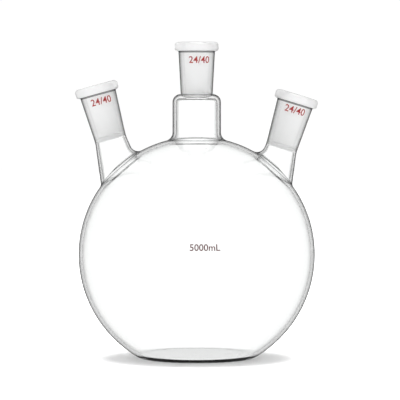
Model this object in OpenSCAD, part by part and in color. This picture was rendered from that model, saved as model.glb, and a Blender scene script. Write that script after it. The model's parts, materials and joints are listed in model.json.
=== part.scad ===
// Three-neck laboratory flask of clear glass with a flattened base.
// The origin is the centre of the flat base, +Z is up, and the side necks lie in the XZ plane.

/* [Bulb] */
// Outside diameter of the spherical bulb
bulb_od = 223; // [210:1:236]
// Wall thickness of the bulb
bulb_wall = 3; // [2.5:0.1:4]
// Height of the bulb's centre above the flat base
bulb_centre_z = 98; // [94:0.5:102]
// Thickness of the glass in the flat base
base_wall = 4; // [3:0.1:6]
// Outside radius of the rounded heel around the flat base
heel_r = 20; // [14:1:24]

/* [Centre neck] */
// Outside diameter of the centre neck
centre_od = 45.6; // [42:0.1:48]
// Wall thickness of the centre neck
centre_wall = 3; // [2.5:0.1:4]
// Outside radius of the rounded shoulder
shoulder_r = 7.5; // [5:0.5:7.5]
// Height of the top of the shoulder above the flat base
shoulder_z = 249.5; // [244:0.5:256]

/* [Side necks] */
// Tilt of the left neck away from upright, in degrees
left_tilt = 15.5; // [12:0.5:20]
// Distance between the left neck's axis and the bulb's centre, at that centre's height
left_offset = 51; // [48:0.5:54]
// Length along the left neck's axis from that height to the rim
left_reach = 166; // [160:0.5:172]
// Tilt of the right neck away from upright, in degrees
right_tilt = 17; // [12:0.5:20]
// Distance between the right neck's axis and the bulb's centre, at that centre's height
right_offset = 49; // [46:0.5:54]
// Length along the right neck's axis from that height to the rim
right_reach = 158; // [154:0.5:172]
// Wall thickness of the side necks
side_wall = 2.5; // [2:0.1:3]
// Outside diameter of the flared foot where a side neck meets the bulb
foot_od = 41; // [36:0.5:42]

/* [Ground joints] */
// Diameter of the ground bore at its wide end
ground_d = 24; // [22:0.5:25]
// Length of the ground bore
ground_length = 40; // [36:1:41]
// Length of the whole joint from its lower end to the rim
joint_length = 49; // [48:0.5:52]
// Outside diameter of the joint just under the bead
joint_top_od = 34.8; // [33:0.1:36]
// Outside diameter of the joint at its lower end
joint_foot_od = 30; // [29:0.1:31]
// Outside diameter of the bead around the rim
bead_od = 41.2; // [39:0.1:43]
// Height of the bead
bead_height = 8.5; // [7:0.1:10]
// Radius of the bead's rounded edges
bead_r = 3.2; // [2:0.1:4]
// Radius of the rounded edge inside the mouth
lip_r = 4.5; // [3:0.1:5]

/* [Hidden] */
$fn = 128;

// The ground bore narrows by 1 mm in diameter for each 10 mm of its length.
ground_taper = 1 / 10;
ground_foot_d = ground_d - ground_length * ground_taper;
// Plain glass between the joint's lower end and the ground bore
relief_length = 1.5;
// Length of the straight outside of a side neck, between its joint and its flare
collar_length = 5;
// Depth over which a side neck opens from the joint's bore to its own
funnel_length = 1;
// Place along a side neck's axis, inside the bulb's surface, where the flared foot ends
foot_at = 72;
// Place along a side neck's axis, inside the bulb's hollow, where its bore is cut to
bore_end_at = 62;
// Height inside the bulb's hollow where the centre neck's bore is cut from
centre_bore_z = 180;
// Number of straight chords that round each heel
heel_chords = 6;
// How far a cutting shape runs past the surface that it cuts
past = 1;

clear_glass = [0.86, 0.9, 0.91, 0.45];
ground_glass = [0.93, 0.94, 0.94, 0.85];

// Half of a disc of radius r about the bulb's centre, flattened at height floor_z. Short chords round
// the heel, and the last of them runs on until it is well outside the disc.
module flattened_disc(r, floor_z, heel) {
    rise = bulb_centre_z - floor_z;
    heel_x = sqrt(pow(r - heel, 2) - pow(rise - heel, 2));
    turn = acos((rise - heel) / (r - heel)) / heel_chords;
    chords = [
        for (i = [0 : heel_chords - 1])
            [heel_x + heel * sin(i * turn), floor_z + heel * (1 - cos(i * turn))]
    ];
    last = chords[heel_chords - 1];
    run_on = last + heel * [cos((heel_chords - 0.5) * turn), sin((heel_chords - 0.5) * turn)];
    intersection() {
        translate([0, bulb_centre_z]) circle(r);
        polygon(concat([[0, floor_z]], chords, [run_on, [2 * r, run_on[1]], [2 * r, 2 * r], [0, 2 * r]]));
    }
}

// Half of a post of radius r, up to height top_z, with a rounded shoulder
module shouldered_post(r, bottom_z, top_z, corner) {
    translate([0, bottom_z]) square([r, top_z - corner - bottom_z]);
    translate([0, bottom_z]) square([r - corner, top_z - bottom_z]);
    translate([r - corner, top_z - corner]) circle(corner);
}

// Puts a shape, drawn up its own Z axis from the level of the bulb's centre, onto a side neck's axis
module on_side_axis(side, tilt, offset) {
    translate([side * offset, 0, bulb_centre_z]) rotate([0, side * tilt, 0]) children();
}

// The hollow of a side neck, widening from its joint down through the bulb's wall
module side_bore(reach) {
    top = reach - joint_length;
    tube_r = joint_foot_od / 2 - side_wall;
    foot_r = foot_od / 2 - side_wall;
    tube_at = top - funnel_length;
    slope = (foot_r - tube_r) / (tube_at - foot_at);
    rotate_extrude() polygon([
        [0, bore_end_at],
        [foot_r + slope * (foot_at - bore_end_at), bore_end_at],
        [tube_r, tube_at],
        [ground_foot_d / 2, top],
        [ground_foot_d / 2, top + past],
        [0, top + past]
    ]);
}

// The outside of a side neck, down to just inside the bulb's surface
module side_tube(reach) {
    top = reach - joint_length;
    rotate_extrude() polygon([
        [0, foot_at],
        [foot_od / 2, foot_at],
        [joint_foot_od / 2, top - collar_length],
        [joint_foot_od / 2, top],
        [0, top]
    ]);
}

module bulb_solid() {
    translate([0, 0, bulb_centre_z]) sphere(d = bulb_od);
}

// The hollow of the centre neck, down through the bulb's wall
module centre_bore() {
    rotate_extrude() shouldered_post(
        centre_od / 2 - centre_wall, centre_bore_z, shoulder_z - centre_wall, shoulder_r - centre_wall
    );
}

module bulb() {
    color(clear_glass) difference() {
        rotate_extrude() difference() {
            flattened_disc(bulb_od / 2, 0, heel_r);
            flattened_disc(bulb_od / 2 - bulb_wall, base_wall, heel_r - bulb_wall);
        }
        centre_bore();
        on_side_axis(-1, left_tilt, left_offset) side_bore(left_reach);
        on_side_axis(1, right_tilt, right_offset) side_bore(right_reach);
    }
}

module centre_neck() {
    color(clear_glass) difference() {
        rotate_extrude() shouldered_post(centre_od / 2, centre_bore_z, shoulder_z, shoulder_r);
        centre_bore();
        translate([0, 0, centre_bore_z]) cylinder(d = ground_foot_d, h = shoulder_z);
        bulb_solid();
    }
}

module side_neck(side, tilt, offset, reach) {
    color(clear_glass) difference() {
        on_side_axis(side, tilt, offset) side_tube(reach);
        on_side_axis(side, tilt, offset) side_bore(reach);
        bulb_solid();
    }
}

// A ground taper socket standing on its lower end at the height 0
module ground_joint() {
    bead_foot = joint_length - bead_height;
    bead_middle = joint_length - bead_height / 2;
    ground_top = relief_length + ground_length;
    color(ground_glass) rotate_extrude() difference() {
        union() {
            polygon([[0, 0], [joint_foot_od / 2, 0], [joint_top_od / 2, bead_middle], [0, bead_middle]]);
            translate([0, bead_foot]) square([bead_od / 2 - bead_r, bead_height]);
            translate([0, bead_foot + bead_r]) square([bead_od / 2, bead_height - 2 * bead_r]);
            for (z = [bead_foot + bead_r, joint_length - bead_r])
                translate([bead_od / 2 - bead_r, z]) circle(bead_r);
        }
        polygon([
            [0, -past],
            [ground_foot_d / 2, -past],
            [ground_foot_d / 2, relief_length],
            [ground_d / 2, ground_top],
            [ground_d / 2, joint_length + past],
            [0, joint_length + past]
        ]);
        difference() {
            translate([ground_d / 2 - past, joint_length - lip_r]) square(lip_r + past);
            translate([ground_d / 2 + lip_r, joint_length - lip_r]) circle(lip_r);
        }
    }
}

module centre_joint() {
    translate([0, 0, shoulder_z]) ground_joint();
}

module left_neck() {
    side_neck(-1, left_tilt, left_offset, left_reach);
}

module left_joint() {
    on_side_axis(-1, left_tilt, left_offset)
        translate([0, 0, left_reach - joint_length]) ground_joint();
}

module right_neck() {
    side_neck(1, right_tilt, right_offset, right_reach);
}

module right_joint() {
    on_side_axis(1, right_tilt, right_offset)
        translate([0, 0, right_reach - joint_length]) ground_joint();
}

bulb();
centre_neck();
centre_joint();
left_neck();
left_joint();
right_neck();
right_joint();
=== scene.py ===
import json
import math

import bmesh
import bpy
import numpy as np
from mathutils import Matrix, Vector
from mathutils.geometry import delaunay_2d_cdt


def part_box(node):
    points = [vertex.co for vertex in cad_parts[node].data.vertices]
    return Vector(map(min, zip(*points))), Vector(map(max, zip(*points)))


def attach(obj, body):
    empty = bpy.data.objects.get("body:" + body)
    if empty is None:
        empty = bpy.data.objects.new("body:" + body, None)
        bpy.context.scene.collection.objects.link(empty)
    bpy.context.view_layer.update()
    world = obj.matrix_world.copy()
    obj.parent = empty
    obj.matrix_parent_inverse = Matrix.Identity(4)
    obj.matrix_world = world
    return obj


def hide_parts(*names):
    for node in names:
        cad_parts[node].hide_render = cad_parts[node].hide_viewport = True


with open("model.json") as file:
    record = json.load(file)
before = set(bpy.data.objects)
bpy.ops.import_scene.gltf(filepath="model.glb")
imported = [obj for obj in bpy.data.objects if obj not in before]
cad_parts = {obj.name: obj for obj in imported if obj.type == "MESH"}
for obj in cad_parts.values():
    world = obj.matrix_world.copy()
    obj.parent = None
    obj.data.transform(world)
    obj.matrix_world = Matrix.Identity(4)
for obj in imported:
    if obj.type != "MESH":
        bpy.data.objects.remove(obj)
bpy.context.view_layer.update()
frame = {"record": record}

# A three-neck laboratory flask of clear glass. Each piece of glass is one closed mesh that stands for
# its CAD node. Neighbouring pieces share the same ring of points where they are fused, and the faces
# there are see-through, so that light passes from piece to piece as it does in one vessel.

scene = bpy.context.scene

MM = 0.001
SIDES = 144  # points round a neck or joint
RIM_SIDES = 216  # points round the heel of the base
GRID = 3.6 * MM  # distance between neighbouring points on the bulb
EDGE_ROOM = 0.55 * GRID  # least distance of those points from the edges of the base and the holes
CLEAR, GROUND, SEAM, SHADE_LINE, BEAD = range(5)  # material numbers of a piece's faces

# ---------------------------------------------------------------- sizes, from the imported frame

mounts = {mount["name"]: mount for mount in frame["record"]["mounts"]}
bulb_low, bulb_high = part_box("bulb")
neck_low, neck_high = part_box("centre_neck")
joint_low, joint_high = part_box("centre_joint")

BALL_R = (bulb_high.y - bulb_low.y) / 2
WALL = 3 * MM
NECK_R = (neck_high.x - neck_low.x) / 2
NECK_WALL = 3 * MM
# The bulb's box ends where the centre neck's hollow passes through the bulb's outer surface.
BALL_CENTRE = Vector((0, 0, bulb_high.z - math.sqrt(BALL_R**2 - (NECK_R - NECK_WALL) ** 2)))
JOINT_LENGTH = joint_high.z - joint_low.z
BEAD_R = (joint_high.x - joint_low.x) / 2

FLOOR_GLASS = 4 * MM  # thickness of the flat base
HEEL_R = 20 * MM
SHOULDER_R = 7.5 * MM

TUBE_R = 15 * MM  # outside radius where a joint meets its neck
FOOT_R = 20.5 * MM  # outside radius of a side neck's flared foot
FOOT_AT = 72 * MM  # place of that foot along the neck's axis, from the level of the bulb's centre
TUBE_WALL = 2.5 * MM
FLARE_AT = 5 * MM  # how far below its joint a side neck's outside starts to flare
FUNNEL = 1 * MM  # how far below its joint a side neck's bore has opened out
BORE_R = 10 * MM  # narrow end of the ground bore
BORE_TOP_R = 12 * MM
RELIEF = 1.5 * MM  # plain glass below the ground bore, where joint and neck are fused
GROUND_TOP = RELIEF + 40 * MM
SHADE_LINE_WIDTH = 1.5 * MM  # the dark line under a bead
JOINT_TOP_R = 17.2 * MM  # width of the dark glass band under a bead, painted shade that stands in for the dark line seen there
BEAD_FOOT = JOINT_LENGTH - 8.5 * MM
TAPER = (JOINT_TOP_R - TUBE_R) / BEAD_FOOT  # how fast the outside of a joint widens
SEAM_R = TUBE_R + TAPER * RELIEF  # outside radius of a joint at the seam with its neck


# ---------------------------------------------------------------- outlines and rings

def rounded_path(corners, span=3 * MM, turn_step=math.radians(6)):
    """Points and unit tangents along straight lines between corners (r, z, radius), rounded at each."""
    points, tangents = [], []
    spots = [np.array(corner[:2], float) for corner in corners]
    here = spots[0]
    for i in range(1, len(spots)):
        way = spots[i] - spots[i - 1]
        way /= np.linalg.norm(way)
        end = spots[i]
        angle = 0.0
        if i < len(spots) - 1:
            onward = spots[i + 1] - spots[i]
            onward /= np.linalg.norm(onward)
            angle = math.atan2(way[0] * onward[1] - way[1] * onward[0], way @ onward)
            radius = corners[i][2]
            end = spots[i] - way * radius * math.tan(abs(angle) / 2)
        steps = max(1, math.ceil(np.linalg.norm(end - here) / span))
        for k in range(steps + (i == len(spots) - 1)):
            points.append(here + (end - here) * k / steps)
            tangents.append(way)
        if i == len(spots) - 1:
            break
        side = math.copysign(1, angle)
        middle = end + side * radius * np.array([-way[1], way[0]])
        steps = max(2, math.ceil(abs(angle) / turn_step))
        for k in range(steps):
            turn = angle * k / steps
            c, s = math.cos(turn), math.sin(turn)
            spoke = end - middle
            points.append(middle + np.array([c * spoke[0] - s * spoke[1], s * spoke[0] + c * spoke[1]]))
            tangents.append(np.array([c * way[0] - s * way[1], s * way[0] + c * way[1]]))
        here = spots[i] + onward * radius * math.tan(abs(angle) / 2)
    return np.array(points), np.array(tangents)


class Place:
    """A neck's axis: where its joint starts, and the directions right of, behind and along it."""

    def __init__(self, mount):
        self.up = Vector(mount["axis"]).normalized()
        self.start = Vector(mount["pos_m"]) - self.up * JOINT_LENGTH
        self.back = Vector((0, 1, 0))
        self.right = self.back.cross(self.up).normalized()
        to_ball = BALL_CENTRE - self.start
        self.ball_r = to_ball.dot(self.right)
        self.ball_z = to_ball.dot(self.up)

    def lift(self, flat, angles, origin=True):
        """Rings in space from (r, z) pairs, one ring for each row, turned by each angle about the axis."""
        right, back, up = (np.array(v) for v in (self.right, self.back, self.up))
        spokes = np.cos(angles)[:, None] * right + np.sin(angles)[:, None] * back
        rings = flat[..., 0:1] * spokes + flat[..., 1:2] * up
        return rings + np.array(self.start) if origin else rings


def turned(place, path, sides=SIDES):
    """Rings of points and tangents made by turning a path all the way round a neck's axis."""
    points, tangents = path
    angles = np.arange(sides) * 2 * math.pi / sides
    all_round = np.ones((1, sides, 1))
    return (
        place.lift(points[:, None, :] * all_round, angles),
        place.lift(tangents[:, None, :] * all_round, angles, origin=False),
    )


def neck_wall(place, path, ball_r, fillet, fillet_swing=0.0, arc_steps=14, line_steps=8):
    """Rings up one wall of a neck: off a ball of radius ball_r, round a fillet, then on along the path.
    The fillet's radius is larger by fillet_swing on the side away from the bulb's axis, and smaller by
    as much on the side towards it."""
    points, tangents = path
    angles = np.arange(SIDES) * 2 * math.pi / SIDES
    lean = math.copysign(1, -place.ball_r)
    radius = fillet + fillet_swing * lean * np.cos(angles)
    middle = np.stack([place.ball_r * np.cos(angles), np.full(SIDES, place.ball_z)], axis=1)
    section = np.sqrt(ball_r**2 - (place.ball_r * np.sin(angles)) ** 2)
    start, down = points[0], -tangents[0]
    outward = np.array([-down[1], down[0]])
    # The fillet touches both the ball and the line of the path. So its centre lies one radius off that
    # line, some reach down it, and as far from the middle of the ball's section as both radii together.
    gap = start + radius[:, None] * outward - middle
    b = gap @ down
    c = (gap**2).sum(1) - (section + radius) ** 2
    reach = -b - np.sqrt(b * b - c)
    centre = start + reach[:, None] * down + radius[:, None] * outward
    landing = centre - radius[:, None] * outward
    to_ball = middle - centre
    first = np.arctan2(to_ball[:, 1], to_ball[:, 0])
    last = math.atan2(-outward[1], -outward[0])
    sweep = (last - first + math.pi) % (2 * math.pi) - math.pi
    rows, row_tangents = [], []
    for k in range(arc_steps):
        turn = first + sweep * k / arc_steps
        spoke = np.stack([np.cos(turn), np.sin(turn)], axis=1)
        rows.append(centre + radius[:, None] * spoke)
        row_tangents.append(np.sign(sweep)[:, None] * np.stack([-spoke[:, 1], spoke[:, 0]], axis=1))
    for k in range(line_steps):
        rows.append(landing + (start - landing) * k / line_steps)
        row_tangents.append(np.tile(-down, (SIDES, 1)))
    for point, tangent in zip(points, tangents):
        rows.append(np.tile(point, (SIDES, 1)))
        row_tangents.append(np.tile(tangent, (SIDES, 1)))
    return (
        place.lift(np.array(rows), angles),
        place.lift(np.array(row_tangents), angles, origin=False),
    )


def downward(rings, tangents):
    """The same wall, followed the other way."""
    return rings[::-1], -tangents[::-1]


# ---------------------------------------------------------------- closed skins of glass

class Skin:
    """The points, normals, faces and face materials of one closed piece."""

    def __init__(self):
        self.points = []
        self.normals = []
        self.faces = []
        self.zones = []

    def add(self, points, normals):
        """Adds points, and gives their numbers."""
        first = len(self.points)
        self.points += [tuple(p) for p in points]
        self.normals += [tuple(n) for n in normals]
        return list(range(first, len(self.points)))

    def band(self, low, high, zone=CLEAR):
        """Four-sided faces between two rings of point numbers. They face away from the axis if high is
        above low."""
        for i in range(len(low)):
            j = (i + 1) % len(low)
            self.faces.append((low[i], low[j], high[j], high[i]))
            self.zones.append(zone)

    def loft(self, rings, tangents, zone_of=None):
        """Faces over a row of rings, and the numbers of the points in each ring."""
        along = np.roll(rings, -1, axis=1) - np.roll(rings, 1, axis=1)
        normals = np.cross(along, tangents)
        normals /= np.linalg.norm(normals, axis=2, keepdims=True)
        numbers = [self.add(ring, normal) for ring, normal in zip(rings, normals)]
        for k in range(len(numbers) - 1):
            self.band(numbers[k], numbers[k + 1], zone_of[k] if zone_of else CLEAR)
        return numbers

    def fan(self, ring, point, normal, inward):
        """Closes a ring with triangles to one point."""
        tip = self.add([point], [normal])[0]
        for i in range(len(ring)):
            j = (i + 1) % len(ring)
            self.faces.append((ring[i], ring[j], tip) if inward else (ring[j], ring[i], tip))
            self.zones.append(CLEAR)

    def piece(self, name, materials, node, slot):
        """Makes the Blender object, with its normals as worked out, riding in its CAD node's place."""
        mesh = bpy.data.meshes.new(name)
        mesh.from_pydata(self.points, [], self.faces)
        for paint in materials:
            mesh.materials.append(paint)
        mesh.polygons.foreach_set("material_index", self.zones)
        mesh.shade_smooth()
        mesh.normals_split_custom_set_from_vertices(self.normals)
        return settle(bpy.data.objects.new(name, mesh), slot, node)


def settle(piece, slot, *nodes):
    """Puts a finished piece in the scene, on the root, and hides the CAD nodes that it stands for."""
    scene.collection.objects.link(piece)
    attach(piece, "root")
    if nodes:
        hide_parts(*nodes)
    return piece


# ---------------------------------------------------------------- the bulb

def inside(loop, spots):
    """For each spot, whether it lies inside a closed loop of flat points."""
    ahead = np.roll(loop, -1, axis=0)
    x, y = spots[:, 0:1], spots[:, 1:2]
    crosses = (loop[:, 1] > y) != (ahead[:, 1] > y)
    rise = ahead[:, 1] - loop[:, 1]
    rise[rise == 0] = 1e-12
    at = loop[:, 0] + (y - loop[:, 1]) * (ahead[:, 0] - loop[:, 0]) / rise
    return (crosses & (x < at)).sum(1) % 2 == 1


def ball_sheet(skin, radius, rim, holes, outside):
    """Triangles over a ball from the rim of its base up, leaving out the holes. rim and holes are lists
    of point numbers in skin. A view from the ball's lowest point keeps circles round on flat paper."""
    centre = np.array(BALL_CENTRE)

    def flat(points):
        unit = (np.asarray(points) - centre) / radius
        unit /= np.linalg.norm(unit, axis=1, keepdims=True)
        return unit[:, :2] / (1 + unit[:, 2:])

    loops = [rim] + holes
    numbers = [n for loop in loops for n in loop]
    edges, first = [], 0
    for loop in loops:
        count = len(loop)
        edges += [(first + i, first + (i + 1) % count) for i in range(count)]
        first += count
    given = np.array([skin.points[n] for n in numbers])
    rim_angle = math.acos((skin.points[rim[0]][2] - centre[2]) / radius)
    rows = int(rim_angle * radius / GRID)
    inner = []
    for i in range(1, rows):
        polar = rim_angle * i / rows
        count = round(2 * math.pi * math.sin(polar) * radius / GRID)
        turn = (np.arange(count) + 0.5 * (i % 2)) * 2 * math.pi / count
        inner.append(np.stack([np.cos(turn) * math.sin(polar), np.sin(turn) * math.sin(polar),
                               np.full(count, math.cos(polar))], axis=1))
    inner = centre + radius * np.concatenate(inner)
    for loop in holes:
        ring = np.array([skin.points[n] for n in loop])
        inner = inner[~inside(flat(ring), flat(inner))]
    nearest = np.full(len(inner), np.inf)
    for spot in given[::2]:
        nearest = np.minimum(nearest, np.linalg.norm(inner - spot, axis=1))
    inner = inner[nearest > EDGE_ROOM]
    numbers += skin.add(inner, (inner - centre) / radius * (1 if outside else -1))
    paper = flat(np.concatenate([given, inner]))
    made = delaunay_2d_cdt([Vector(p) for p in paper], edges, [], 0, 1e-9)
    source = [entry[0] for entry in made[3]]
    hole_of = {n: i for i, loop in enumerate(holes) for n in loop}
    for triangle in made[2]:
        corners = [numbers[source[v]] for v in triangle]
        if len({hole_of.get(n, -1 - n) for n in corners}) == 1:
            continue
        skin.faces.append(tuple(corners) if outside else tuple(reversed(corners)))
        skin.zones.append(CLEAR)


def base_path(radius, floor_z, heel):
    """Points and tangents from near the middle of the flat base, round the heel and up to the ball."""
    rise = BALL_CENTRE.z - floor_z
    heel_x = math.sqrt((radius - heel) ** 2 - (rise - heel) ** 2)
    top = math.atan2(-(rise - heel), heel_x)
    points = [(heel_x * share, floor_z) for share in (0.1, 0.3, 0.5, 0.7, 0.85)]
    tangents = [(1.0, 0.0)] * len(points)
    steps = 16
    for k in range(steps + 1):
        turn = -math.pi / 2 + (top + math.pi / 2) * k / steps
        points.append((heel_x + heel * math.cos(turn), floor_z + heel + heel * math.sin(turn)))
        tangents.append((-math.sin(turn), math.cos(turn)))
    return np.array(points), np.array(tangents)


class Upright(Place):
    """The bulb's own axis, from the table up."""

    def __init__(self):
        self.up = Vector((0, 0, 1))
        self.start = Vector((0, 0, 0))
        self.back = Vector((0, 1, 0))
        self.right = Vector((1, 0, 0))


def bulb(necks):
    """The blown bulb: an outer and an inner ball, each with its base and its three holes."""
    skin = Skin()
    rims, holes = [], []
    for outside in (True, False):
        radius = BALL_R if outside else BALL_R - WALL
        path = base_path(radius, 0 if outside else FLOOR_GLASS, HEEL_R if outside else HEEL_R - WALL)
        rings, tangents = turned(Upright(), path, RIM_SIDES)
        if not outside:
            rings, tangents = downward(rings, tangents)
        numbers = skin.loft(rings, tangents)
        middle = (0, 0, 0 if outside else FLOOR_GLASS)
        skin.fan(numbers[0 if outside else -1], middle, (0, 0, -1 if outside else 1), inward=not outside)
        rim = numbers[-1 if outside else 0]
        loops = []
        for neck in necks:
            ring = neck["outer_ring" if outside else "inner_ring"]
            away = (ring - np.array(BALL_CENTRE)) / radius * (1 if outside else -1)
            loops.append(skin.add(ring, away))
        ball_sheet(skin, radius, rim, loops, outside)
        rims.append(rim)
        holes.append(loops)
    for outer, inner in zip(*holes):
        skin.band(outer, inner, SEAM)
    return skin


# ---------------------------------------------------------------- necks and joints

def neck(place, outer_path, inner_path, fillet, swing, frost_foot):
    """One neck, from its ring on the bulb to the seam at its joint. The haze of the ground joint runs on
    down inside it, to the first ring of points that isn't above frost_foot."""
    outer = neck_wall(place, outer_path, BALL_R, fillet, swing)
    inner = neck_wall(place, inner_path, BALL_R - WALL, fillet + WALL, swing)
    skin = Skin()
    up = skin.loft(*outer)
    hazy = int((inner_path[0][:, 1] > frost_foot).sum())
    zones = [GROUND if k < hazy else CLEAR for k in range(len(inner[0]))]
    down = skin.loft(*downward(*inner), zones)
    skin.band(up[-1], down[0], SEAM)
    skin.band(down[-1], up[0], SEAM)
    return {"skin": skin, "outer_ring": outer[0][0], "inner_ring": inner[0][0]}


def centre_neck(place):
    """The centre neck: a wide tube with a rounded shoulder, which carries its joint."""
    inside_r = NECK_R - NECK_WALL
    ceiling = -NECK_WALL
    below = -32 * MM  # where both outlines begin, above the fillet on the bulb
    outer = rounded_path([
        (NECK_R, below, 0),
        (NECK_R, 0, SHOULDER_R),
        (TUBE_R, 0, 0.25 * MM),
        (SEAM_R, RELIEF, 0),
    ])
    inner = rounded_path([
        (inside_r, below, 0),
        (inside_r, ceiling, SHOULDER_R - NECK_WALL),
        (BORE_R, ceiling, 4.4 * MM),
        (BORE_R, RELIEF, 0),
    ])
    return neck(place, outer, inner, fillet=8 * MM, swing=0, frost_foot=-0.5 * MM)


def side_neck(place):
    """A side neck: it opens below its joint and flares towards its foot on the bulb."""
    level = -(BALL_CENTRE - place.start).z / place.up.z
    foot = FOOT_AT - level

    def radius_at(z, top, top_r, foot_r):
        return top_r + (foot_r - top_r) * (z - top) / (foot - top)

    low = -2.5 * MM  # how far below its flare each outline begins
    throat = 0.6 * RELIEF  # height where the bore starts to open
    outer = rounded_path([
        (radius_at(-FLARE_AT + low, -FLARE_AT, TUBE_R, FOOT_R), -FLARE_AT + low, 0),
        (TUBE_R, -FLARE_AT, 18 * MM),
        (TUBE_R, 0, 12 * MM),
        (SEAM_R, RELIEF, 0),
    ])
    inner = rounded_path([
        (radius_at(-FUNNEL + low, -FUNNEL, TUBE_R, FOOT_R) - TUBE_WALL, -FUNNEL + low, 0),
        (TUBE_R - TUBE_WALL, -FUNNEL, 1.2 * MM),
        (BORE_R, throat, 0.3 * MM),
        (BORE_R, RELIEF, 0),
    ])
    return neck(place, outer, inner, fillet=6 * MM, swing=-1.5 * MM, frost_foot=-2 * FUNNEL)


def joint(place):
    """A ground taper socket: up the outside, over the rolled bead and down the ground bore.
    Just under the bead runs a band of dark glass, painted shade that stands in for the dark line seen
    there.
    """
    path = rounded_path([
        (SEAM_R, RELIEF, 0),
        (JOINT_TOP_R - SHADE_LINE_WIDTH * TAPER, BEAD_FOOT - SHADE_LINE_WIDTH, 0),
        (JOINT_TOP_R, BEAD_FOOT, 0.8 * MM),
        (BEAD_R, BEAD_FOOT, 2.6 * MM),
        (BEAD_R, JOINT_LENGTH, 3.2 * MM),
        (BORE_TOP_R, JOINT_LENGTH, 4.5 * MM),
        (BORE_TOP_R, GROUND_TOP, 8 * MM),
        (BORE_R, RELIEF, 0),
    ], span=2 * MM)
    points = path[0]
    crown = int(points[:, 1].argmax())
    shade_line_foot = BEAD_FOOT - 1.01 * SHADE_LINE_WIDTH  # a little under the ring at the lower edge of the painted shade band

    def zone(k):
        radius, height = points[k]
        if k > crown:
            return GROUND
        if radius > JOINT_TOP_R + SHADE_LINE_WIDTH:
            return BEAD
        # a narrow band just under the bead gets dark glass: painted shade
        return SHADE_LINE if height > shade_line_foot else CLEAR

    zones = [zone(k) for k in range(len(points))]
    skin = Skin()
    rings = skin.loft(*turned(place, path), zones)
    skin.band(rings[-1], rings[0], SEAM)
    return skin


# ---------------------------------------------------------------- materials

GLASS_IOR = 1.474  # borosilicate glass
EDGE_SHADE_SHARE = 0.02  # how much of its colour clear glass keeps where it is seen edge on; this darkening is painted shade that draws the glass's dark outlines


def material(name):
    """A new node material, its node tree and its Principled shader."""
    made = bpy.data.materials.new(name)
    made.use_nodes = True
    return made, made.node_tree, made.node_tree.nodes["Principled BSDF"]


def noise(tree, scale, detail=2.0, stretch=None):
    """A noise texture in object space, in features per metre, stretched if asked."""
    where = tree.nodes.new("ShaderNodeTexCoord").outputs["Object"]
    if stretch:
        mapping = tree.nodes.new("ShaderNodeMapping")
        mapping.inputs["Scale"].default_value = stretch
        tree.links.new(where, mapping.inputs["Vector"])
        where = mapping.outputs["Vector"]
    made = tree.nodes.new("ShaderNodeTexNoise")
    made.inputs["Scale"].default_value = scale
    made.inputs["Detail"].default_value = detail
    tree.links.new(where, made.inputs["Vector"])
    return made.outputs["Fac"]


def bump(tree, shader, layers):
    """Stacks bump layers (height socket, depth in metres) on a shader's normal."""
    before = None
    for height, depth in layers:
        node = tree.nodes.new("ShaderNodeBump")
        node.inputs["Strength"].default_value = 1.0
        node.inputs["Distance"].default_value = depth
        tree.links.new(height, node.inputs["Height"])
        if before:
            tree.links.new(before, node.inputs["Normal"])
        before = node.outputs["Normal"]
    tree.links.new(before, shader.inputs["Normal"])


def spread(tree, fac, low, high):
    """Maps a noise value to the range low to high."""
    node = tree.nodes.new("ShaderNodeMapRange")
    node.inputs["From Min"].default_value = 0.3
    node.inputs["From Max"].default_value = 0.7
    node.inputs["To Min"].default_value = low
    node.inputs["To Max"].default_value = high
    tree.links.new(fac, node.inputs["Value"])
    return node.outputs["Result"]


def edge_on(tree, rim):
    """How nearly edge on a surface is seen, from 0 at the first value in rim to 1 at the second."""
    weight = tree.nodes.new("ShaderNodeLayerWeight")
    weight.inputs["Blend"].default_value = 0.5
    node = tree.nodes.new("ShaderNodeMapRange")
    node.interpolation_type = "SMOOTHSTEP"
    node.inputs["From Min"].default_value = rim[0]
    node.inputs["From Max"].default_value = rim[1]
    tree.links.new(weight.outputs["Facing"], node.inputs["Value"])
    return node.outputs["Result"]


def blend(tree, fac, first, second):
    """A colour that goes from the first to the second as fac goes from 0 to 1."""
    node = tree.nodes.new("ShaderNodeMix")
    node.data_type = "RGBA"
    node.inputs["A"].default_value = (*first, 1)
    node.inputs["B"].default_value = (*second, 1)
    tree.links.new(fac, node.inputs["Factor"])
    return node.outputs["Result"]


def clear_glass(name, tint, rim):
    """Fire-polished glass with the faint waves of blowing and the fine lines of drawing. Its colour
    darkens as it turns edge on, between the two values in rim: 0 is glass seen straight on, and 1 is edge
    on. That darkening is painted shade, drawing dark outlines."""
    made, tree, shader = material(name)
    # Painted shade: the colour falls to a small share of the tint where the glass is seen edge on, drawing
    # dark outlines.
    colour = blend(tree, edge_on(tree, rim), tint, [c * EDGE_SHADE_SHARE for c in tint])
    tree.links.new(colour, shader.inputs["Base Color"])
    shader.inputs["Roughness"].default_value = 0.0
    shader.inputs["IOR"].default_value = GLASS_IOR
    shader.inputs["Transmission Weight"].default_value = 1.0
    waves = noise(tree, 28, detail=1.5)
    lines = noise(tree, 60, detail=1.0, stretch=(1.0, 1.0, 0.25))
    bump(tree, shader, [(waves, 0.06 * MM), (lines, 0.008 * MM)])
    return made


def ground_glass(name, clarity, roughness):
    """Glass ground with grit or left dull by the flame: white, finely grained and marked in rings.
    clarity is the share of the light that it lets through, and roughness the lowest and highest value."""
    made, tree, shader = material(name)
    shader.inputs["Base Color"].default_value = (0.99, 0.99, 0.99, 1)
    shader.inputs["IOR"].default_value = GLASS_IOR
    shader.inputs["Transmission Weight"].default_value = clarity
    shader.inputs["Specular IOR Level"].default_value = 0.0
    grain = noise(tree, 2600, detail=3.0)
    rings = noise(tree, 900, detail=2.0, stretch=(0.15, 0.15, 1.0))
    tree.links.new(spread(tree, grain, *roughness), shader.inputs["Roughness"])
    bump(tree, shader, [(grain, 0.03 * MM), (rings, 0.015 * MM)])
    return made


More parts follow.
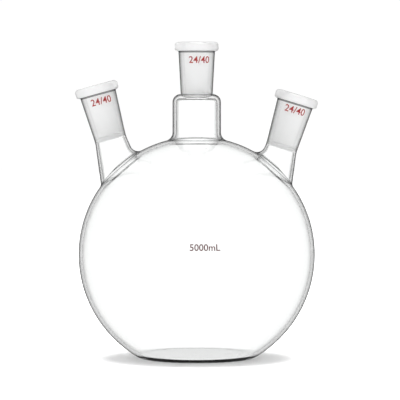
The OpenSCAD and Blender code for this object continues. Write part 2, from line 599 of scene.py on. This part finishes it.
def see_through():
    """For the faces where two pieces of glass are fused, which nobody sees."""
    made, tree, shader = material("fused_seam")
    tree.nodes.remove(shader)
    clear = tree.nodes.new("ShaderNodeBsdfTransparent")
    tree.links.new(clear.outputs["BSDF"], tree.nodes["Material Output"].inputs["Surface"])
    return made


def enamel(name, colour, unevenness=0.15):
    """Fired enamel of the printed size figures: slightly uneven in colour and gloss."""
    made, tree, shader = material(name)
    speckle = noise(tree, 3000, detail=3.0)
    dark = [c * (1 - unevenness) for c in colour]
    light = [c * (1 + unevenness) for c in colour]
    tree.links.new(blend(tree, speckle, dark, light), shader.inputs["Base Color"])
    tree.links.new(spread(tree, speckle, 0.35, 0.5), shader.inputs["Roughness"])
    bump(tree, shader, [(speckle, 0.004 * MM)])
    return made


# ---------------------------------------------------------------- printed size figures

SLAB = 1 * MM  # thickness that figures are cut at, before they are wrapped as a thin layer
STRIP = 0.5 * MM  # width of the strips they are cut into, so that they can bend
LAYER_GAP = 0.01 * MM  # clearance between the glass and the layer
LAYER = 0.05 * MM  # thickness of the layer
FIGURE_SHARE = 0.72  # height of a figure as a share of its type size
BOLDNESS = 0.012  # how much each stroke is thickened, as a share of the figure's height


def figures(name, text, height, thickness, wrap, paint):
    """Size figures as a thin closed layer of enamel. wrap bends (right, up, depth) onto the glass."""
    curve = bpy.data.curves.new(name, "FONT")
    curve.body = text
    curve.align_x = "CENTER"
    curve.align_y = "CENTER"
    curve.size = height / FIGURE_SHARE
    curve.offset = BOLDNESS * height
    curve.extrude = SLAB / 2
    curve.resolution_u = 6
    source = bpy.data.objects.new(name + "_source", curve)
    scene.collection.objects.link(source)
    bpy.context.view_layer.update()
    mesh = bpy.data.meshes.new_from_object(source)
    bpy.data.objects.remove(source)
    work = bmesh.new()
    work.from_mesh(mesh)
    bmesh.ops.remove_doubles(work, verts=work.verts, dist=1e-6)
    width = max(abs(v.co.x) for v in work.verts)
    cut = -width + STRIP
    while cut < width:
        everything = work.verts[:] + work.edges[:] + work.faces[:]
        bmesh.ops.bisect_plane(work, geom=everything, plane_co=(cut, 0, 0), plane_no=(1, 0, 0))
        cut += STRIP
    # The normals are worked out on the slab, because the layer is too thin for that once it is wrapped.
    bmesh.ops.recalc_face_normals(work, faces=work.faces)
    for v in work.verts:
        v.co = wrap(v.co.x, v.co.y, (v.co.z / SLAB + 0.5) * thickness)
    work.to_mesh(mesh)
    work.free()
    mesh.name = name
    mesh.materials.clear()
    mesh.materials.append(paint)
    return bpy.data.objects.new(name, mesh)


def on_bulb(right, up):
    """A wrap that centres figures on the front of the bulb."""
    level = math.asin((up - BALL_CENTRE.z) / BALL_R)
    side = math.asin(right / (BALL_R * math.cos(level)))

    def wrap(x, y, depth):
        tilt = level + y / BALL_R
        turn = side + x / (BALL_R * math.cos(level))
        out = Vector((math.cos(tilt) * math.sin(turn), -math.cos(tilt) * math.cos(turn), math.sin(tilt)))
        return BALL_CENTRE + out * (BALL_R + LAYER_GAP + depth)

    return wrap


def on_joint(place, right, up):
    """A wrap that centres figures on the front of a joint's taper."""
    def radius_at(z):
        return TUBE_R + TAPER * z

    def wrap(x, y, depth):
        z = up + y
        out = radius_at(z) + LAYER_GAP + depth
        turn = (right + x) / radius_at(up)
        spoke = math.sin(turn) * place.right - math.cos(turn) * place.back
        return place.start + place.up * z + out * spoke

    return wrap


# ---------------------------------------------------------------- the flask

# How nearly edge on the glass is seen where its painted dark outline starts, and where that painted shade
# is darkest. The bulb's starts later, because on something so wide a tube's range would draw a far wider
# outline.
BULB_RIM = (0.70, 0.95)
TUBE_RIM = (0.35, 0.75)

bulb_glass = clear_glass("blown_glass", (0.985, 0.99, 0.988), BULB_RIM)
tube_glass = clear_glass("drawn_glass", (0.975, 0.98, 0.978), TUBE_RIM)
joint_glass = clear_glass("joint_glass", (0.975, 0.98, 0.978), TUBE_RIM)
bore = ground_glass("ground_bore", 0.15, (0.5, 0.6))
seam = see_through()
# Dark glass for the band under each bead: painted shade, standing in for the dark line that shows under
# the bead.
shade_line = clear_glass("bead_shade_line", (0.1, 0.1, 0.1), TUBE_RIM)
bead = ground_glass("fired_bead", 0.92, (0.3, 0.38))
# Each list follows the material numbers of clear glass, ground glass, seams, the painted shade band under
# a bead and the bead, as far as it goes.
bulb_zones = [bulb_glass, bore, seam]
neck_zones = [tube_glass, bore, seam]
joint_zones = [joint_glass, bore, seam, shade_line, bead]

places = {side: Place(mounts[side + "_socket"]) for side in ("centre", "left", "right")}
necks = {side: (centre_neck if side == "centre" else side_neck)(place) for side, place in places.items()}
bulb(list(necks.values())).piece("bulb_glass", bulb_zones, "bulb", "clear_glass")
for side, place in places.items():
    necks[side]["skin"].piece(side + "_neck_glass", neck_zones, side + "_neck", "clear_glass")
    joint(place).piece(side + "_joint_glass", joint_zones, side + "_joint", "ground_joint_glass")

joint_paint = enamel("joint_enamel", (0.30, 0.022, 0.02))
volume_paint = enamel("volume_enamel", (0.07, 0.008, 0.01))
# How far right of its joint's axis, and up from the joint's lower end, each size mark is centred
MARK_PLACES = {
    "centre": (2.6 * MM, 32 * MM),
    "left": (1.9 * MM, 33 * MM),
    "right": (1.4 * MM, 33.9 * MM),
}
MARK_HEIGHT = 6.5 * MM
# How far right of the bulb's axis, and up from the table, the volume mark is centred
VOLUME_PLACE = (7.5 * MM, 110.6 * MM)
VOLUME_HEIGHT = 6.2 * MM
for side, place in places.items():
    wrap = on_joint(place, *MARK_PLACES[side])
    mark = figures(side + "_size_mark", "24/40", MARK_HEIGHT, LAYER, wrap, joint_paint)
    settle(mark, "ground_joint_glass")
wrap = on_bulb(*VOLUME_PLACE)
settle(figures("volume_mark", "5000mL", VOLUME_HEIGHT, LAYER, wrap, volume_paint), "clear_glass")

# ---------------------------------------------------------------- floor, light and camera

FLOOR_HALF = 6.0  # half the width of the floor, in metres
FLOOR_DROP = 0.05 * MM  # keeps the floor just clear of the flask's base
# Strengths of the light that the camera, refracted rays, scattered rays and mirrored rays meet
WHITE = 1.02
THROUGH = 1.15
EVEN = 1.35
GLOSS = 0.1

floor_mesh = bpy.data.meshes.new("floor")
corners = [(x * FLOOR_HALF, y * FLOOR_HALF, 0) for x, y in ((-1, -1), (1, -1), (1, 1), (-1, 1))]
floor_mesh.from_pydata(corners, [], [(0, 1, 2, 3)])
floor = bpy.data.objects.new("floor", floor_mesh)
scene.collection.objects.link(floor)
floor.location.z = -FLOOR_DROP
floor.visible_glossy = False
floor.visible_transmission = False
floor_paint, _, floor_shader = material("pale_floor")
floor_shader.inputs["Base Color"].default_value = (0.9, 0.9, 0.9, 1)
floor_shader.inputs["Roughness"].default_value = 0.9
floor_shader.inputs["Specular IOR Level"].default_value = 0.0
floor_mesh.materials.append(floor_paint)


def studio():
    """A white studio, the same from every side. The camera sees plain white, refracted rays an even light,
    mirrored rays a dim one, and rays that something rough has scattered a brighter one."""
    world = bpy.data.worlds.new("studio")
    scene.world = world
    world.use_nodes = True
    world.cycles.sampling_method = "NONE"
    tree = world.node_tree
    tree.nodes.clear()

    def calc(kind, a, b):
        """One step of arithmetic on numbers or sockets."""
        node = tree.nodes.new("ShaderNodeMath")
        node.operation = kind
        for socket, value in zip(node.inputs, (a, b)):
            if isinstance(value, (int, float)):
                socket.default_value = value
            else:
                tree.links.new(value, socket)
        return node.outputs["Value"]

    path = tree.nodes.new("ShaderNodeLightPath")
    mirrored = calc("SUBTRACT", path.outputs["Is Glossy Ray"], path.outputs["Is Transmission Ray"])
    sharp = calc("LESS_THAN", path.outputs["Diffuse Depth"], 0.5)
    seen = path.outputs["Is Camera Ray"]

    def choose(test, yes, no):
        """yes where test is 1, and no where it is 0."""
        return calc("ADD", calc("MULTIPLY", test, yes), calc("MULTIPLY", calc("SUBTRACT", 1.0, test), no))

    strength = choose(seen, WHITE, choose(mirrored, GLOSS, choose(sharp, THROUGH, EVEN)))
    background = tree.nodes.new("ShaderNodeBackground")
    background.inputs["Color"].default_value = (1, 1, 1, 1)
    tree.links.new(strength, background.inputs["Strength"])
    output = tree.nodes.new("ShaderNodeOutputWorld")
    tree.links.new(background.outputs["Background"], output.inputs["Surface"])


studio()

lamp_data = bpy.data.lights.new("overhead", "AREA")
lamp_data.shape = "DISK"
lamp_data.size = 1.5
lamp_data.energy = 60
lamp = bpy.data.objects.new("overhead", lamp_data)
scene.collection.objects.link(lamp)
lamp.location = (0, 0, 1.6)
lamp.visible_glossy = False
lamp.visible_transmission = False
lamp.visible_camera = False

scene.view_settings.view_transform = "Standard"
scene.cycles.max_bounces = 32
scene.cycles.transmission_bounces = 32
scene.cycles.glossy_bounces = 16
scene.cycles.diffuse_bounces = 16
scene.cycles.transparent_max_bounces = 32

AIM = Vector((3.1 * MM, 0, 149.7 * MM))
EYE = Vector((3.1 * MM, -2.64, 253.6 * MM))
camera_data = bpy.data.cameras.new("camera")
camera_data.lens = 252
camera_data.sensor_width = 36
camera_data.clip_end = 50
camera = bpy.data.objects.new("camera", camera_data)
scene.collection.objects.link(camera)
camera.location = EYE
camera.rotation_euler = (AIM - EYE).to_track_quat("-Z", "Y").to_euler()
scene.camera = camera
